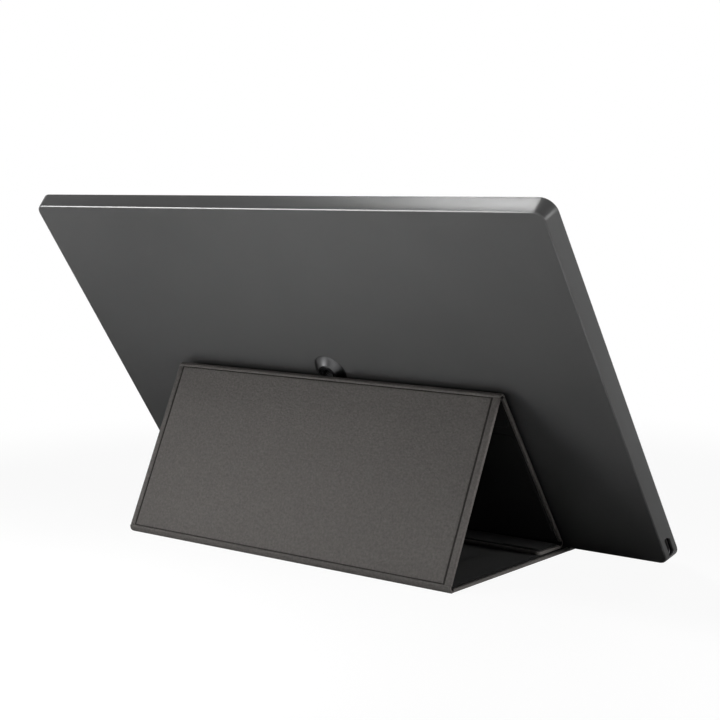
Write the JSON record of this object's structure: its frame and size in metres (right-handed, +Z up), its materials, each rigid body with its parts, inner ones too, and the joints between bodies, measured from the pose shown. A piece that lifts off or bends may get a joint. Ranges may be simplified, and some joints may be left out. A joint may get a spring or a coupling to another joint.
{
  "type": "portable monitor with cover",
  "caption": "Slim portable monitor leaning back on a detachable folding magnetic cover that makes a triangular stand, with side buttons, sockets and a tripod thread.",
  "frame": {"origin": "on the table, at the middle of the footprint of monitor and stand together", "axes": "+X along the width, to the right for someone who looks at the screen, +Y from the screen side to the stand side, +Z up"},
  "size_m": [0.3586, 0.1272, 0.1944],
  "materials": {
    "shell": "fine satin texture, dark grey",
    "frame": "satin black",
    "screen": "anti-glare coated screen, switched off",
    "film": "translucent white",
    "steel": "bright zinc",
    "tape": "foam adhesive",
    "pcb": "solder mask",
    "chip": "moulded epoxy",
    "cable": "polyimide film",
    "socket_metal": "nickel plated",
    "insert_metal": "dark nickel",
    "magnet": "nickel plated",
    "button": "satin",
    "leather": "fine-grain synthetic leather, warm grey",
    "lining": "microfibre",
    "board": "fibreboard"
  },
  "bodies": {
    "monitor": {"rear_shell": "shell", "front_frame": "frame", "lcd_cell": "screen", "film_stack": "film", "light_guide": "film", "led_bar": "film", "panel_chassis": "steel", "panel_tape": "tape", "panel_board": "pcb", "panel_cable": "cable", "main_board": "pcb", "main_board_chips": "chip", "port_board": "pcb", "link_cable": "cable", "video_socket": "socket_metal", "usb_sockets": "socket_metal", "socket_cone": "shell", "tripod_insert": "insert_metal", "insert_screws": "steel", "board_screws": "steel", "back_magnets": "magnet", "front_magnets": "magnet", "button_domes": "steel", "status_light": "film"},
    "power_button": {"power_button": "button"},
    "menu_button": {"menu_button": "button"},
    "rocker": {"rocker_button": "button"},
    "riser": {"riser_skin": "leather", "riser_board": "board", "strip_board": "board", "riser_lining": "lining", "riser_magnets": "magnet", "foot_crease": "leather"},
    "back_panel": {"back_skin": "leather", "back_board": "board", "back_lining": "lining", "ridge_crease": "leather"},
    "base": {"base_skin": "leather", "base_board": "board", "base_lining": "lining", "base_magnets": "magnet", "rear_crease": "leather"},
    "flap": {"flap_skin": "leather", "flap_board": "board", "flap_lining": "lining", "flap_magnets": "magnet"}
  },
  "joints": [
    {"name": "cover_release", "type": "slide", "parent": "monitor", "child": "riser", "axis": [0, 0.8434, -0.5373], "range_m": [0, 0.15]},
    {"name": "ridge_fold", "type": "hinge", "parent": "riser", "child": "back_panel", "pos_m": [0, 0.01011, 0.09352], "axis": [1, 0, 0], "range_deg": [0, 121.7], "deforming": ["ridge_crease"]},
    {"name": "rear_fold", "type": "hinge", "parent": "back_panel", "child": "base", "pos_m": [0, 0.05462, 0.00168], "axis": [1, 0, 0], "range_deg": [0, 115.8], "deforming": ["rear_crease"]},
    {"name": "foot_fold", "type": "hinge", "parent": "riser", "child": "flap", "pos_m": [0, -0.04627, 0.00499], "axis": [-1, 0, 0], "range_deg": [0, 122.5], "deforming": ["foot_crease"]},
    {"name": "power_press", "type": "slide", "parent": "monitor", "child": "power_button", "axis": [-1, 0, 0], "range_m": [0, 0.0005], "stiffness_N_per_m": 1200, "springref_m": -0.0003},
    {"name": "menu_press", "type": "slide", "parent": "monitor", "child": "menu_button", "axis": [-1, 0, 0], "range_m": [0, 0.0005], "stiffness_N_per_m": 1200, "springref_m": -0.0003},
    {"name": "rocker_tilt", "type": "hinge", "parent": "monitor", "child": "rocker", "pos_m": [0.17511, -0.00755, 0.0814], "axis": [0, 0.8434, -0.5373], "range_deg": [-2.5, 2.5], "stiffness_Nm_per_rad": 0.1}
  ],
  "couplings": [
    {"joint": "rear_fold", "follows": "ridge_fold", "ratio": 0.9515},
    {"joint": "foot_fold", "follows": "ridge_fold", "ratio": 1.0065}
  ]
}
